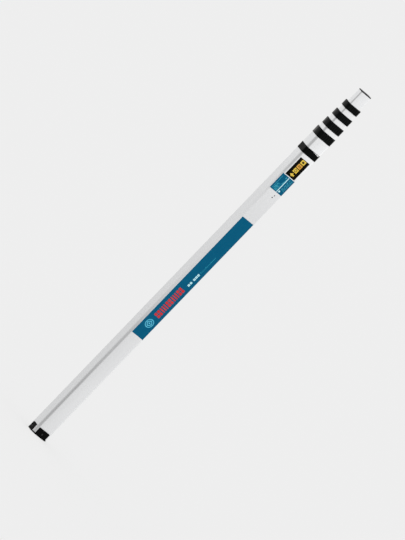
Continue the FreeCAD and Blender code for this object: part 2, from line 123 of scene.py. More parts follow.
def roundedBar(name, low, high, radius, steps=None):  # a block whose four upright edges are rounded
    bar = block(name, low, high)
    selectEdges(bar, lambda a, b: abs(a.z - b.z) > 1e-6 and (a - b).xy.length < 1e-6)
    bpy.ops.mesh.bevel(offset=radius, segments=steps or rod["cornerSteps"], affect="EDGES")
    leaveEdit()
    return bar


def applyModifier(piece, modifier):
    choose(piece)
    bpy.ops.object.modifier_apply(modifier=modifier.name)


def boolean(piece, tool, operation="DIFFERENCE"):
    modifier = piece.modifiers.new("shape", "BOOLEAN")
    modifier.operation = operation
    modifier.solver = "EXACT"
    modifier.object = tool
    applyModifier(piece, modifier)
    bpy.data.objects.remove(tool)
    return piece


# A round hole along an axis, from the centre to both sides by half the depth.
def drill(piece, centre, axis, radius, depth, vertices=40):
    deselectAll()
    turn = axis.to_track_quat("Z", "Y").to_euler()
    bpy.ops.mesh.primitive_cylinder_add(
        vertices=vertices, radius=radius, depth=depth, location=centre, rotation=turn
    )
    return boolean(piece, settle(bpy.context.active_object))


def soften(piece, width, steps=2, angle=38):  # small round edges wherever two faces meet sharply
    modifier = piece.modifiers.new("edges", "BEVEL")
    modifier.width = width
    modifier.segments = steps
    modifier.limit_method = "ANGLE"
    modifier.angle_limit = math.radians(angle)
    modifier.harden_normals = False
    applyModifier(piece, modifier)
    return piece


def smooth(piece, angle=38):
    choose(piece)
    bpy.ops.object.shade_smooth_by_angle(angle=math.radians(angle))
    return piece


def join(name, pieces):
    choose(*pieces)
    bpy.ops.object.join()
    joined = bpy.context.active_object
    joined.name = name
    return joined


def copyTo(piece, name, place, turn=(0, 0, 0)):  # a copy with a mesh of its own, turned and placed
    twin = piece.copy()
    twin.data = piece.data.copy()
    bpy.context.scene.collection.objects.link(twin)
    twin.rotation_euler = turn
    twin.location = place
    return settle(twin, name)


def finishPiece(piece, material, body, slot, *replaced):
    piece.data.materials.clear()
    piece.data.materials.append(material)
    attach(piece, body)
    if replaced:
        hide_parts(*replaced)
    return piece


def newMaterial(name):
    material = bpy.data.materials.new(name)
    material.use_nodes = True
    tree = material.node_tree
    return material, tree, tree.nodes["Principled BSDF"]


# Noise over the piece, with its place in metres, stretched along an axis where wanted.
def noise(tree, scale, stretch=(1, 1, 1), detail=4, rough=0.55):
    place = tree.nodes.new("ShaderNodeTexCoord")
    mapping = tree.nodes.new("ShaderNodeMapping")
    mapping.inputs["Scale"].default_value = stretch
    grain = tree.nodes.new("ShaderNodeTexNoise")
    grain.inputs["Scale"].default_value = scale
    grain.inputs["Detail"].default_value = detail
    grain.inputs["Roughness"].default_value = rough
    tree.links.new(place.outputs["Object"], mapping.inputs["Vector"])
    tree.links.new(mapping.outputs["Vector"], grain.inputs["Vector"])
    return grain.outputs["Fac"]


def ramp(tree, value, stops):  # turns a value into a colour through a few stops of (place, colour)
    node = tree.nodes.new("ShaderNodeValToRGB")
    band = node.color_ramp
    while len(band.elements) < len(stops):
        band.elements.new(0.5)
    for element, (place, colour) in zip(band.elements, stops):
        element.position = place
        element.color = (*colour, 1)
    tree.links.new(value, node.inputs["Fac"])
    return node.outputs["Color"]


def spread(tree, value, low, high, fromLow=0.3, fromHigh=0.7):
    node = tree.nodes.new("ShaderNodeMapRange")
    node.inputs["From Min"].default_value = fromLow
    node.inputs["From Max"].default_value = fromHigh
    node.inputs["To Min"].default_value = low
    node.inputs["To Max"].default_value = high
    tree.links.new(value, node.inputs["Value"])
    return node.outputs["Result"]


def maths(tree, operation, a, b):
    node = tree.nodes.new("ShaderNodeMath")
    node.operation = operation
    for socket, value in zip(node.inputs, (a, b)):
        if isinstance(value, (int, float)):
            socket.default_value = value
        else:
            tree.links.new(value, socket)
    return node.outputs["Value"]


def mixColour(tree, factor, a, b):
    node = tree.nodes.new("ShaderNodeMix")
    node.data_type = "RGBA"
    tree.links.new(factor, node.inputs["Factor"])
    for socket, value in ((node.inputs["A"], a), (node.inputs["B"], b)):
        if isinstance(value, tuple):
            socket.default_value = (*value, 1)
        else:
            tree.links.new(value, socket)
    return node.outputs["Result"]


def addBump(tree, shader, height, strength, distance):
    node = tree.nodes.new("ShaderNodeBump")
    node.inputs["Strength"].default_value = strength
    node.inputs["Distance"].default_value = distance
    tree.links.new(height, node.inputs["Height"])
    tree.links.new(node.outputs["Normal"], shader.inputs["Normal"])


aluminiumLook = {
    "light": (0.90, 0.905, 0.91),
    "dark": (0.82, 0.825, 0.835),
    "scuff": (0.66, 0.67, 0.69),
    "rough": 0.30,
}


# Clear anodised extrusion: fine draw lines along the rod, faint blotches and a few long scuffs.
def makeAluminium():
    material, tree, shader = newMaterial("anodisedAluminium")
    lines = noise(tree, 1, (2600, 2600, 9), 5, 0.6)
    cloud = noise(tree, 22, (1, 1, 0.35), 3)
    scuffs = noise(tree, 1, (420, 420, 26), 6, 0.72)
    sheen = ramp(tree, lines, [(0.3, aluminiumLook["dark"]), (0.7, aluminiumLook["light"])])
    scuffed = spread(tree, scuffs, 0, 0.5, 0.66, 0.74)
    colour = mixColour(tree, scuffed, sheen, aluminiumLook["scuff"])
    tree.links.new(colour, shader.inputs["Base Color"])
    level = maths(tree, "ADD", spread(tree, cloud, -0.04, 0.05), spread(tree, lines, 0, 0.05))
    rough = maths(tree, "ADD", level, aluminiumLook["rough"])
    tree.links.new(rough, shader.inputs["Roughness"])
    shader.inputs["Metallic"].default_value = 1.0
    addBump(tree, shader, lines, 0.12, 0.00002)
    return material


# Moulded plastic: a fine eroded grain, uneven gloss and a little dust in it. For side faces with painted
# light, a lighter grey that stands in for the sheen they catch, the last argument is a colour, the distance
# from the middle of the rod and, where wanted, stops from front to back.
def makePlastic(name, base, dust, roughLow, roughHigh, grain, specular=0.5, paintedSideLight=None):
    material, tree, shader = newMaterial(name)
    fine = noise(tree, grain, detail=3)
    cloud = noise(tree, 60, detail=4)
    wear = noise(tree, 240, (1, 1, 0.5), 6, 0.7)
    colour = ramp(tree, wear, [(0.55, base), (0.8, dust)])
    # painted light: near the side faces the base colour is mixed toward a lighter grey, a painted highlight
    # made patchy by the cloud noise
    if paintedSideLight:
        split = tree.nodes.new("ShaderNodeSeparateXYZ")
        tree.links.new(tree.nodes.new("ShaderNodeTexCoord").outputs["Object"], split.inputs["Vector"])
        aside = maths(tree, "ABSOLUTE", split.outputs["X"], 0.0)
        near = spread(tree, aside, 0, 1, paintedSideLight[1] - 0.0012, paintedSideLight[1])
        sideLightMask = maths(tree, "MULTIPLY", near, spread(tree, cloud, 0.6, 1.0, 0.35, 0.6))
        if len(paintedSideLight) > 2:
            along = ramp(tree, spread(tree, split.outputs["Y"], 0, 1, -0.02, 0.02), paintedSideLight[2])
            sideLightMask = maths(tree, "MULTIPLY", sideLightMask, along)
        colour = mixColour(tree, sideLightMask, colour, paintedSideLight[0])
    tree.links.new(colour, shader.inputs["Base Color"])
    tree.links.new(spread(tree, cloud, roughLow, roughHigh), shader.inputs["Roughness"])
    shader.inputs["Specular IOR Level"].default_value = specular
    addBump(tree, shader, fine, 0.25, 0.00004)
    return material


# Bare or plated metal with a brushed or mottled surface.
def makeMetal(name, light, dark, roughness, stretch=(1, 1, 1), scale=900):
    material, tree, shader = newMaterial(name)
    grain = noise(tree, scale, stretch, 4)
    tarnish = noise(tree, 90, detail=5)
    colour = mixColour(tree, spread(tree, tarnish, 0, 0.6, 0.45, 0.75), light, dark)
    tree.links.new(colour, shader.inputs["Base Color"])
    tree.links.new(spread(tree, grain, roughness - 0.08, roughness + 0.1), shader.inputs["Roughness"])
    shader.inputs["Metallic"].default_value = 1.0
    addBump(tree, shader, grain, 0.15, 0.00003)
    return material


# Printed foil or ink: very slight orange peel and rubbed patches.
def makeFoil(name, base, worn, roughness):
    material, tree, shader = newMaterial(name)
    peel = noise(tree, 700, detail=2)
    rub = noise(tree, 110, (1, 1, 0.4), 6, 0.7)
    colour = ramp(tree, rub, [(0.45, base), (0.85, worn)])
    tree.links.new(colour, shader.inputs["Base Color"])
    tree.links.new(spread(tree, rub, roughness - 0.06, roughness + 0.1), shader.inputs["Roughness"])
    shader.inputs["Specular IOR Level"].default_value = 0.03
    addBump(tree, shader, peel, 0.08, 0.00003)
    return material


aluminium = makeAluminium()
# painted light: the foot cap's side faces get a lighter grey as a painted sheen; the colour and how far out
# the sides start
footSideLight = ((0.007, 0.007, 0.007), 0.0285)
footPlastic = makePlastic(
    "footPlastic", (0.0008, 0.0008, 0.0009), (0.004, 0.004, 0.004), 0.32, 0.46, 3200, 0.05, footSideLight
)
# painted light: the lock band's side faces get a lighter grey as a painted sheen; the colour and how far
# out the sides start
beltSideLight = ((0.018, 0.018, 0.018), 0.028)
beltPlastic = makePlastic(
    "beltPlastic", (0.0005, 0.0009, 0.0008), (0.003, 0.004, 0.004), 0.26, 0.4, 2600, 0.05, beltSideLight
)
greyPlastic = makePlastic("greyPlastic", (0.014, 0.014, 0.015), (0.05, 0.05, 0.05), 0.4, 0.55, 2600, 0.2)
redPlastic = makePlastic("redPlastic", (0.45, 0.02, 0.015), (0.5, 0.08, 0.06), 0.28, 0.4, 2600, 0.5)
soleSteel = makeMetal("soleSteel", (0.22, 0.22, 0.225), (0.10, 0.095, 0.09), 0.42)
rivetBlack = makePlastic("rivetBlack", (0.012, 0.012, 0.012), (0.06, 0.06, 0.06), 0.3, 0.42, 2600, 0.3)
rivetMetal = makeMetal("rivetMetal", (0.74, 0.74, 0.75), (0.5, 0.5, 0.5), 0.36)
screwMetal = makeMetal("screwMetal", (0.62, 0.62, 0.63), (0.4, 0.39, 0.37), 0.33)
springMetal = makeMetal("springMetal", (0.5, 0.5, 0.51), (0.3, 0.29, 0.28), 0.3)
blueFoil = makeFoil("blueFoil", (0.0, 0.103, 0.206), (0.0, 0.124, 0.234), 0.36)
blackFoil = makeFoil("blackFoil", (0.003, 0.0024, 0.001), (0.008, 0.007, 0.004), 0.34)
skyInk = makeFoil("skyInk", (0.10, 0.52, 0.72), (0.16, 0.56, 0.74), 0.38)
cyanInk = makeFoil("cyanInk", (0.10, 0.56, 0.68), (0.07, 0.46, 0.58), 0.38)
tealInk = makeFoil("tealInk", (0.003, 0.155, 0.27), (0.01, 0.19, 0.31), 0.38)
faintInk = makeFoil("faintInk", (0.03, 0.34, 0.46), (0.06, 0.38, 0.5), 0.38)
redInk = makeFoil("redInk", (0.62, 0.03, 0.035), (0.66, 0.09, 0.08), 0.36)
whiteInk = makeFoil("whiteInk", (0.60, 0.93, 0.98), (0.52, 0.86, 0.92), 0.4)
yellowInk = makeFoil("yellowInk", (0.80, 0.55, 0.06), (0.82, 0.62, 0.16), 0.38)
amberInk = makeFoil("amberInk", (0.78, 0.40, 0.06), (0.8, 0.48, 0.14), 0.38)
blackInk = makeFoil("blackInk", (0.008, 0.008, 0.009), (0.05, 0.05, 0.05), 0.42)
whiteEnamel = makeFoil("whiteEnamel", (0.78, 0.78, 0.75), (0.66, 0.66, 0.62), 0.42)
print("materials made")


def cornerRadius(k):
    return rod["cornerRadius"] - (k - 1) * rod["cornerStep"]


# The box of section k's outline, made larger each way, between two heights.
def grownBox(k, grow, low, high):
    inner, outer = tubeBoxes[k]
    return (inner.x - grow, inner.y - grow, low), (outer.x + grow, outer.y + grow, high)


# A tube on section k's outline. The tool for its bore is longer, so that it opens both ends.
def sleeve(name, k, grow, thickness, low, high):
    outside = roundedBar(name, *grownBox(k, grow, low, high), cornerRadius(k) + grow)
    within = grow - thickness
    room = grownBox(k, within, low - rod["past"], high + rod["past"])
    return boolean(outside, roundedBar("bore", *room, cornerRadius(k) + within))


def middleOf(node):
    low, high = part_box(node)
    return (low + high) / 2


def makeTube(k):
    low, high = tubeBoxes[k]
    tube = sleeve(f"section{k}Tube", k, 0, rod["wall"], low.z, high.z)
    behind = high.y
    if k < sections:
        lockAt = Vector((0, behind, middleOf(f"button_{k + 1}").z + rod["travel"]))
        drill(tube, lockAt, yAxis, rod["lockRadius"], rod["holeDepth"])
    if k > 1:
        buttonAt = Vector((0, behind, middleOf(f"button_{k}").z))
        drill(tube, buttonAt, yAxis, rod["lockRadius"], rod["holeDepth"])
    soften(tube, rod["tubeEdge"], 2)
    finishPiece(smooth(tube), aluminium, f"section_{k}", "anodised_aluminium", f"section_{k}_tube")


for k in range(1, sections + 1):
    makeTube(k)
print("tubes made")


rivetLook = {
    "radius": 0.0024,
    "height": 0.0008,
    "rim": 0.25,  # upright edge, as a share of the height
    "rise": (0.45, 0.8, 0.96, 1.0),
    "narrow": (0.97, 0.86, 0.66, 0.42),
    "pinEdge": 0.12,  # flat around the pin's hole, as a share of the radius
    "pinDepth": 0.6,  # as a share of the height
    "shank": 0.0015,
    "shankLength": 0.004,
}


# A low round head with the small hole of a drawn pin. It faces +Z from its seat at z = 0.
def makeRivetHead():
    radius, height = rivetLook["radius"], rivetLook["height"]
    start = height * rivetLook["rim"]
    deselectAll()
    bpy.ops.mesh.primitive_cylinder_add(vertices=36, radius=radius, depth=start, location=(0, 0, start / 2))
    head = settle(bpy.context.active_object, "rivetHead")
    selectFaces(head, lambda centre, normal: normal.z > 0.9)
    at, size = start, 1.0
    for rise, narrow in zip(rivetLook["rise"], rivetLook["narrow"]):
        top = height * rise
        extrude(0, 0, top - at)
        bpy.ops.transform.resize(value=(narrow / size, narrow / size, 1))
        at, size = top, narrow
    bpy.ops.mesh.inset(thickness=radius * rivetLook["pinEdge"], depth=0)
    extrude(0, 0, -height * rivetLook["pinDepth"])
    leaveEdit()
    return head


# Heads on their seats, each a place and a facing direction, stand for the node's rivets.
def placeRivets(name, node, body, seats, material=rivetMetal, slot="rivet_aluminium"):
    heads = []
    length = rivetLook["shankLength"]
    for place, facing in seats:
        turn = facing.to_track_quat("Z", "Y").to_euler()
        heads.append(copyTo(rivetHead, "head", place, turn))
        deselectAll()
        middle = Vector(place) - facing * length / 2
        bpy.ops.mesh.primitive_cylinder_add(
            vertices=20, radius=rivetLook["shank"], depth=length, location=middle, rotation=turn
        )
        heads.append(settle(bpy.context.active_object))
    return finishPiece(smooth(join(name, heads)), material, body, slot, node)


rivetHead = makeRivetHead()


collarLook = {
    "rounding": 0.003,  # corner radius beyond the tube's
    "lip": 0.0025,
    "slideGap": 0.00035,
    "edge": 0.0009,
    "flutes": 5,
    "flutePitch": 0.0074,
    "fluteRadius": 0.0016,
    "fluteDepth": 0.0005,
    "fluteMargin": 0.0026,
    "fluteEnd": 0.8,  # rounding of a flute's ends, as a share of its radius
    "rivetSpread": 0.02,
    "mouldEdge": 0.00012,
    # painted highlight: a lighter streak on each side face of the collar, standing in for gloss; its
    # colour, its levels across the side and the depth where it starts
    "paintedSideLight": (0.17, 0.167, 0.163),
    "sideLightAt": (0.08, 0.3, 0.5, 0.6, 0.69, 0.78, 0.95),  # from front to back
    "sideLightBy": (0.01, 0.05, 0.13, 0.36, 1.0, 0.42, 0.2),
    "sideLightSkin": 0.0004,
}


# Round-ended cutters side by side along a face that looks along Y.
def fluteTool(low, high, faceY, outward, spans):
    radius = collarLook["fluteRadius"]
    tools = []
    for x in spans:
        deselectAll()
        place = (x, faceY + outward * (radius - collarLook["fluteDepth"]), (low + high) / 2)
        bpy.ops.mesh.primitive_cylinder_add(vertices=24, radius=radius, depth=high - low, location=place)
        tool = settle(bpy.context.active_object)
        selectEdges(tool, lambda a, b: abs(a.z - b.z) < 1e-7)
        bpy.ops.mesh.bevel(offset=radius * collarLook["fluteEnd"], segments=5, affect="EDGES")
        leaveEdit()
        tools.append(tool)
    return join("flutes", tools)


def makeCollar(k):
    node = f"section_{k}_collar"
    low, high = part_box(node)
    corner = cornerRadius(k) + collarLook["rounding"]
    collar = roundedBar(f"section{k}Collar", low, high, corner, 18)
    selectEdges(collar, lambda a, b: abs(a.z - b.z) < 1e-7)
    bpy.ops.mesh.bevel(offset=collarLook["edge"], segments=4, affect="EDGES")
    leaveEdit()
    half = (collarLook["flutes"] - 1) / 2
    spans = [(n - half) * collarLook["flutePitch"] for n in range(collarLook["flutes"])]
    margin = collarLook["fluteMargin"]
    boolean(collar, fluteTool(low.z + margin, high.z - margin, low.y, -1, spans))
    boolean(collar, fluteTool(low.z + margin, high.z - margin, high.y, 1, [spans[0], 0, spans[-1]]))
    snug = rod["snug"]
    room = grownBox(k, snug, low.z - rod["past"], high.z - collarLook["lip"])
    boolean(collar, roundedBar("skirt", *room, cornerRadius(k) + snug))
    gap = collarLook["slideGap"]
    room = grownBox(k + 1, gap, low.z, high.z + rod["past"])
    boolean(collar, roundedBar("mouth", *room, cornerRadius(k + 1) + gap))
    soften(collar, collarLook["mouldEdge"], 2, 50)
    # the collar sides' painted highlight, strongest a little behind the middle of each side
    stops = [(at, (level,) * 3) for at, level in zip(collarLook["sideLightAt"], collarLook["sideLightBy"])]
    side = (collarLook["paintedSideLight"], high.x - collarLook["sideLightSkin"], stops)
    plastic = makePlastic(
        f"collarPlastic{k}", (0.0014, 0.002, 0.002), (0.007, 0.008, 0.008), 0.3, 0.44, 3200, 0.05, side
    )
    finishPiece(smooth(collar, 45), plastic, f"section_{k}", "black_plastic", node)
    seat = (low.z + high.z) / 2
    half = collarLook["rivetSpread"] / 2
    seats = [((x, high.y, seat), yAxis) for x in (-half, half)]
    placeRivets(f"section{k}CollarRivets", f"section_{k}_collar_rivets", f"section_{k}", seats)


for k in range(1, sections):
    makeCollar(k)
print("collars made")


footLook = {
    "tabWide": 0.0392,  # front and back tabs
    "tabNarrow": 0.0182,  # side tabs
    "tabCorner": 0.0012,
    "floorTop": 0.004,
    "tabTop": 0.0216,
    "rivetHeight": 0.0105,
    "edge": 0.0003,
    "plugStart": 0.0005,  # above the sole
    "webInset": 0.0004,  # the floor under the tabs, from their outer faces
    "webDrop": 0.0002,  # and below the cap's own floor
    "soleEdge": 0.0004,
    "soleBore": 0.01,
    "screwBore": 0.0142,
    "screwEdge": 0.0002,
    "screwSpread": 0.028,
    "screwHead": 0.0029,
    "screwHeadHeight": 0.0012,
    "screwRadius": 0.0015,
    "screwDepth": 0.009,
    "crossWidth": 0.0007,
    "crossLength": 0.0034,
    "crossDepth": 0.0006,
}


# A tab with small round corners at the top, across being the axis that goes through it.
def tabBlock(name, low, high, across):
    tab = block(name, low, high)
    top = Vector(high).z - 1e-6
    selectEdges(tab, lambda a, b: a.z > top and b.z > top and abs((a - b).normalized().dot(across)) > 0.9)
    bpy.ops.mesh.bevel(offset=footLook["tabCorner"], segments=5, affect="EDGES")
    leaveEdit()
    return tab


def makeFootCap():
    low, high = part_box("foot_cap")
    outer = tubeBoxes[1][1]
    snug, tabTop = rod["snug"], footLook["tabTop"]
    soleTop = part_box("foot_plate")[1].z
    halfWide, halfNarrow = footLook["tabWide"] / 2, footLook["tabNarrow"] / 2
    cap = roundedBar("footCap", *grownBox(1, 0, soleTop, footLook["floorTop"]), rod["cornerRadius"])
    inset = -rod["wall"] - snug
    room = grownBox(1, inset, soleTop + footLook["plugStart"], high.z)
    boolean(cap, roundedBar("plug", *room, cornerRadius(1) + inset), "UNION")
    tabs = []
    for front in (-1, 1):
        near, far = sorted((front * (outer.y + snug), front * high.y))
        tabs.append(tabBlock("tab", (-halfWide, near, 0), (halfWide, far, tabTop), yAxis))
        near, far = sorted((front * (outer.x + snug), front * high.x))
        tabs.append(tabBlock("tab", (near, -halfNarrow, 0), (far, halfNarrow, tabTop), xAxis))
    for tab in tabs:
        boolean(cap, tab, "UNION")
    inset, webTop = footLook["webInset"], footLook["floorTop"] - footLook["webDrop"]
    webs = [
        ((-halfWide, low.y + inset, soleTop), (halfWide, high.y - inset, webTop)),
        ((low.x + inset, -halfNarrow, soleTop), (high.x - inset, halfNarrow, webTop)),
    ]
    for web in webs:
        boolean(cap, block("web", *web), "UNION")
    for x in (-footLook["screwSpread"] / 2, footLook["screwSpread"] / 2):
        drill(cap, Vector((x, 0, soleTop)), zAxis, footLook["screwRadius"] + snug, footLook["screwBore"])
    soften(cap, footLook["edge"], 3)
    finishPiece(smooth(cap), footPlastic, "section_1", "black_plastic", "foot_cap")


def makeFootPlate():
    low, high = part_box("foot_plate")
    plate = roundedBar("footPlate", low, high, rod["cornerRadius"])
    snug = rod["snug"]
    for x in (-footLook["screwSpread"] / 2, footLook["screwSpread"] / 2):
        place = Vector((x, 0, 0))
        drill(plate, place, zAxis, footLook["screwHead"] + snug, 2 * footLook["screwHeadHeight"])
        drill(plate, place, zAxis, footLook["screwRadius"] + snug, footLook["soleBore"])
    soften(plate, footLook["soleEdge"], 3)
    finishPiece(smooth(plate), soleSteel, "section_1", "sole_steel", "foot_plate")


def makeSoleScrews():
    screws = []
    for x in (-footLook["screwSpread"] / 2, footLook["screwSpread"] / 2):
        headHeight, depth = footLook["screwHeadHeight"], footLook["crossDepth"]
        deselectAll()
        bpy.ops.mesh.primitive_cylinder_add(
            vertices=40, radius=footLook["screwHead"], depth=headHeight, location=(x, 0, headHeight / 2)
        )
        screw = settle(bpy.context.active_object, "screw")
        selectFaces(screw, lambda centre, normal: normal.z > 0.9)
        narrow = footLook["screwRadius"] / footLook["screwHead"]
        bpy.ops.mesh.inset(thickness=footLook["screwHead"] * (1 - narrow), depth=0)
        extrude(0, 0, footLook["screwDepth"] - headHeight)
        leaveEdit()
        long, wide = footLook["crossLength"] / 2, footLook["crossWidth"] / 2
        boolean(screw, block("slot", (x - long, -wide, -depth), (x + long, wide, depth)))
        boolean(screw, block("slot", (x - wide, -long, -depth), (x + wide, long, depth)))
        soften(screw, footLook["screwEdge"], 2)
        screws.append(screw)
    joined = smooth(join("soleScrews", screws))
    finishPiece(joined, screwMetal, "section_1", "screw_steel", "foot_plate_screws")


makeFootCap()
makeFootPlate()
makeSoleScrews()
capLow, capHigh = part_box("foot_cap")
tabSeat = footLook["rivetHeight"]
tabSeats = [
    ((0, capLow.y, tabSeat), -yAxis),
    ((0, capHigh.y, tabSeat), yAxis),
    ((capLow.x, 0, tabSeat), -xAxis),
    ((capHigh.x, 0, tabSeat), xAxis),
]
placeRivets("footTabRivets", "foot_tab_rivets", "section_1", tabSeats, rivetBlack, "rivet_black")
print("foot made")


bandLook = {
    "window": 0.0065,
    "edge": 0.00025,
    "seamX": -0.0190,
    "seamWidth": 0.0006,
    "seamDepth": 0.00045,
    "slitReach": (0.0, 0.0226),  # across the front
    "slitDrop": (0.0009, 0.0011, 0.0036),  # below the band's top: its top, and its bottom left and right
}


def makeLockBand():
    low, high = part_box("lock_band")
    thickness = high.y - tubeBoxes[1][1].y - rod["snug"]
    band = sleeve("lockBand", 1, rod["snug"] + thickness, thickness, low.z, high.z)
    drill(band, Vector((0, high.y, (low.z + high.z) / 2)), yAxis, bandLook["window"], rod["holeDepth"], 64)
    seam, half = bandLook["seamX"], bandLook["seamWidth"] / 2
    past, back = rod["past"], low.y + bandLook["seamDepth"]
    cutter = block("seam", (seam - half, low.y - past, low.z - past), (seam + half, back, high.z + past))
    boolean(band, cutter)
    soften(band, bandLook["edge"], 3)
    start, end = bandLook["slitReach"]
    top, shallow, deep = (high.z - drop for drop in bandLook["slitDrop"])
    slit = block("slit", (start, low.y - 0.005, deep), (end, low.y + 0.005, top))
    selectEdges(slit, lambda a, b: max(a.x, b.x) < start + 1e-6 and max(a.z, b.z) < deep + 1e-6)
    bpy.ops.transform.translate(value=(0, 0, shallow - deep))
    leaveEdit()
    boolean(band, slit)
    finishPiece(smooth(band), beltPlastic, "section_1", "belt_plastic", "lock_band")


makeLockBand()
print("lock band made")


buttonLook = {
    "stem": 0.004,
    "flange": 0.0054,
    "flangeThick": 0.002,
    "end": 0.0008,
    "dome": ((0.45, 0.16), (0.35, 0.28), (0.2, 0.5)),  # steps outward and inward, as shares of the end
    "edge": 0.0002,
}


def makeButton(k):
    low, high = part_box(f"button_{k}")
    centre = (low + high) / 2
    length = high.y - low.y
    deselectAll()
    bpy.ops.mesh.primitive_cylinder_add(
        vertices=48,
        radius=buttonLook["flange"],
        depth=buttonLook["flangeThick"],
        location=(centre.x, low.y + buttonLook["flangeThick"] / 2, centre.z),
        rotation=(math.radians(-90), 0, 0),
    )
    button = settle(bpy.context.active_object, f"button{k}")
    selectFaces(button, lambda place, normal: normal.y > 0.9)
    bpy.ops.mesh.inset(thickness=buttonLook["flange"] - buttonLook["stem"], depth=0)
    extrude(0, length - buttonLook["flangeThick"] - buttonLook["end"], 0)
    for out, inward in buttonLook["dome"]:
        extrude(0, buttonLook["end"] * out, 0)
        shrink = 1 - inward * buttonLook["end"] / buttonLook["stem"]
        bpy.ops.transform.resize(value=(shrink, 1, shrink))
    leaveEdit()
    soften(button, buttonLook["edge"], 2, 50)
    finishPiece(smooth(button), redPlastic, f"button_{k}", "button_plastic", f"button_{k}")


capLook = {
    "edge": 0.0006,
    "mouldEdge": 0.00015,
    "panelInset": 0.0032,
    "panelDepth": 0.0004,
    "panelCorner": 0.002,  # how much smaller than the plug's corner
    "plugRoot": 0.0008,
}


def makeTopCap():
    low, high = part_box("top_cap")
    tube = tubeBoxes[sections][1]
    cap = roundedBar("topCap", *grownBox(sections, 0, tube.z, high.z), cornerRadius(sections))
    selectEdges(cap, lambda a, b: a.z > high.z - 1e-6 and b.z > high.z - 1e-6)
    bpy.ops.mesh.bevel(offset=capLook["edge"], segments=4, affect="EDGES")
    leaveEdit()
    inset = -rod["wall"] - rod["snug"]
    radius = cornerRadius(sections) + inset
    plug = roundedBar("plug", *grownBox(sections, inset, low.z, high.z - capLook["plugRoot"]), radius)
    boolean(cap, plug, "UNION")
    panel = grownBox(sections, -capLook["panelInset"], high.z - capLook["panelDepth"], high.z + rod["past"])
    boolean(cap, roundedBar("panel", *panel, radius - capLook["panelCorner"]))
    soften(cap, capLook["mouldEdge"], 2)
    finishPiece(smooth(cap), greyPlastic, f"section_{sections}", "grey_plastic", "top_cap")
    seat = middleOf("top_cap_rivets").z
    half = collarLook["rivetSpread"] / 2
    seats = [((x, tube.y, seat), yAxis) for x in (-half, half)]
    placeRivets("topCapRivets", "top_cap_rivets", f"section_{sections}", seats)


for k in range(2, sections + 1):
    makeButton(k)
makeTopCap()
print("buttons and top cap made")


def dress(node, material):
    piece = nodes[node]
    for place in piece.material_slots:
        place.material = material
    if not piece.material_slots:
        piece.data.materials.append(material)


for k in range(2, sections + 1):
    dress(f"section_{k}_plug", greyPlastic)
    dress(f"section_{k}_plug_rivets", rivetMetal)
    dress(f"button_{k}_spring", springMetal)
    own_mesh(nodes[f"button_{k}_spring"])
dress("front_label", blueFoil)
dress("info_label", blueFoil)
dress("hint_label", blackFoil)


printLook = {"thick": 0.00004, "float": 0.00001, "hole": 0.004}  # hole being the depth of a ring's cutter


def inkDepth(surface, outward, thick):  # where a printed area starts and ends
    return surface - outward * printLook["float"], surface + outward * (thick or printLook["thick"])


# Thin printed areas in one mesh. Each is left, bottom, right and top on a face that looks along Y.
def plates(name, rectangles, surface, outward=-1, thick=None):
    near, far = inkDepth(surface, outward, thick)
    deselectAll()
    for n, (left, bottom, right, top) in enumerate(rectangles):
        bpy.ops.mesh.primitive_cube_add(
            size=1,
            location=((left + right) / 2, (near + far) / 2, (bottom + top) / 2),
            scale=(right - left, abs(far - near), top - bottom),
        )
        if n == 0:
            sheet = settle(bpy.context.active_object, name)
            bpy.ops.object.mode_set(mode="EDIT")  # the rest are added to its mesh
    leaveEdit()
    return sheet


def disc(name, x, z, radius, surface, outward=-1, thick=None, sides=48):
    near, far = inkDepth(surface, outward, thick)
    deselectAll()
    bpy.ops.mesh.primitive_cylinder_add(
        vertices=sides,
        radius=radius,
        depth=abs(far - near),
        location=(x, (near + far) / 2, z),
        rotation=(math.radians(90), 0, 0),
    )
    return settle(bpy.context.active_object, name)


def ring(name, x, z, outer, inner, surface, outward=-1, thick=None):
    piece = disc(name, x, z, outer, surface, outward, thick)
    return drill(piece, Vector((x, surface, z)), yAxis, inner, printLook["hole"], 48)


def finishPrint(piece, ink, body="section_1"):
    finishPiece(piece, ink, body, "printing_ink")


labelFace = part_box("front_label")[0].y
emblem = {
    "x": 0.0015,
    "z": 0.4095,
    "radius": 0.0128,
    "rings": ((1.0, 0.83), (0.6, 0.42)),  # outside and inside, as shares of the radius, as are the rest
    "bubble": 0.2,
    "tick": (0.07, 0.59, 0.84),  # half its width, and its near and far end
}


def makeEmblem():  # a round level seen from above: rings around a bubble
    x, z, radius = emblem["x"], emblem["z"], emblem["radius"]
    parts = [ring("ring", x, z, radius * out, radius * inner, labelFace) for out, inner in emblem["rings"]]
    parts.append(disc("bubble", x, z, radius * emblem["bubble"], labelFace))
    half, near, far = (radius * share for share in emblem["tick"])
    ticks = []
    for low, high in ((-far, -near), (near, far)):
        ticks.append((x + low, z - half, x + high, z + half))
        ticks.append((x - half, z + low, x + half, z + high))
    parts.append(plates("ticks", ticks, labelFace))
    finishPrint(join("emblem", parts), skyInk)


blocks = {
    "left": -0.0080,
    "right": 0.0122,
    "bottom": 0.4347,
    "top": 0.532,
    "count": 5,
    "gap": 0.0034,
    "split": 0.0022,
}


def frameShape(left, bottom, right, top, border):  # the four sides of a rectangle with an open middle
    return [
        (left, bottom, right, bottom + border),
        (left, top - border, right, top),
        (left, bottom + border, left + border, top - border),
        (right - border, bottom + border, right, top - border),
    ]


